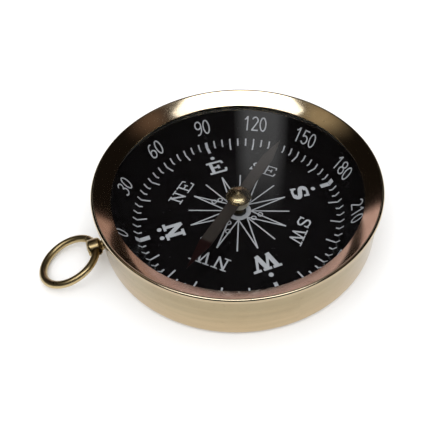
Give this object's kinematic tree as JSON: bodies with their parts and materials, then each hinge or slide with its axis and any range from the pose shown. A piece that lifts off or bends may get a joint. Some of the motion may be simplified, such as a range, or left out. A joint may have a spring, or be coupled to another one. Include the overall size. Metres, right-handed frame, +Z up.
{
  "type": "hand compass",
  "caption": "Small open-face brass compass with a flat glass, dished black dial, free-turning needle and a wire bail ring on a side stud.",
  "frame": {"origin": "centre of the case's underside, on the needle's axis", "axes": "+Z up out of the dial; +Y from the needle's axis towards the bail stud; +X to the right seen from above"},
  "size_m": [0.05, 0.0606, 0.01],
  "materials": {
    "case_brass": "pressed and polished, with fine turning marks and light tarnish",
    "bezel_brass": "mirror polished, slightly redder than the case",
    "fittings_brass": "polished drawn wire and turned stock, lightly tarnished",
    "crystal": "clear flat glass",
    "dial_lacquer": "satin black lacquer printed in pale grey",
    "needle_steel": "blued and browned spring steel, one half painted dark red",
    "nickel_plate": "bright nickel plate",
    "agate": "polished stone",
    "gasket_rubber": "matt",
    "fibre": "matt pressed fibre"
  },
  "bodies": {
    "case": {"case_cup": "case_brass", "bezel_ring": "bezel_brass", "glass": "crystal", "glass_gasket": "gasket_rubber", "dial_dish": "dial_lacquer", "pivot_post": "fittings_brass", "pivot_washer": "fibre", "pivot_pin": "needle_steel", "bail_stud": "fittings_brass", "stud_washer": "fittings_brass"},
    "needle": {"needle_blade": "needle_steel", "needle_collar": "nickel_plate", "needle_cap": "fittings_brass", "cap_jewel": "agate"},
    "bail": {"bail_ring": "fittings_brass"}
  },
  "joints": [
    {"name": "needle_spin", "type": "hinge", "parent": "case", "child": "needle", "pos_m": [0, 0, 0.00496], "axis": [0, 0, 1], "continuous": true},
    {"name": "bail_swing", "type": "hinge", "parent": "case", "child": "bail", "pos_m": [0, 0.0259, 0.0032], "axis": [0.9895, 0, -0.1444], "range_deg": [-76, 104]}
  ]
}
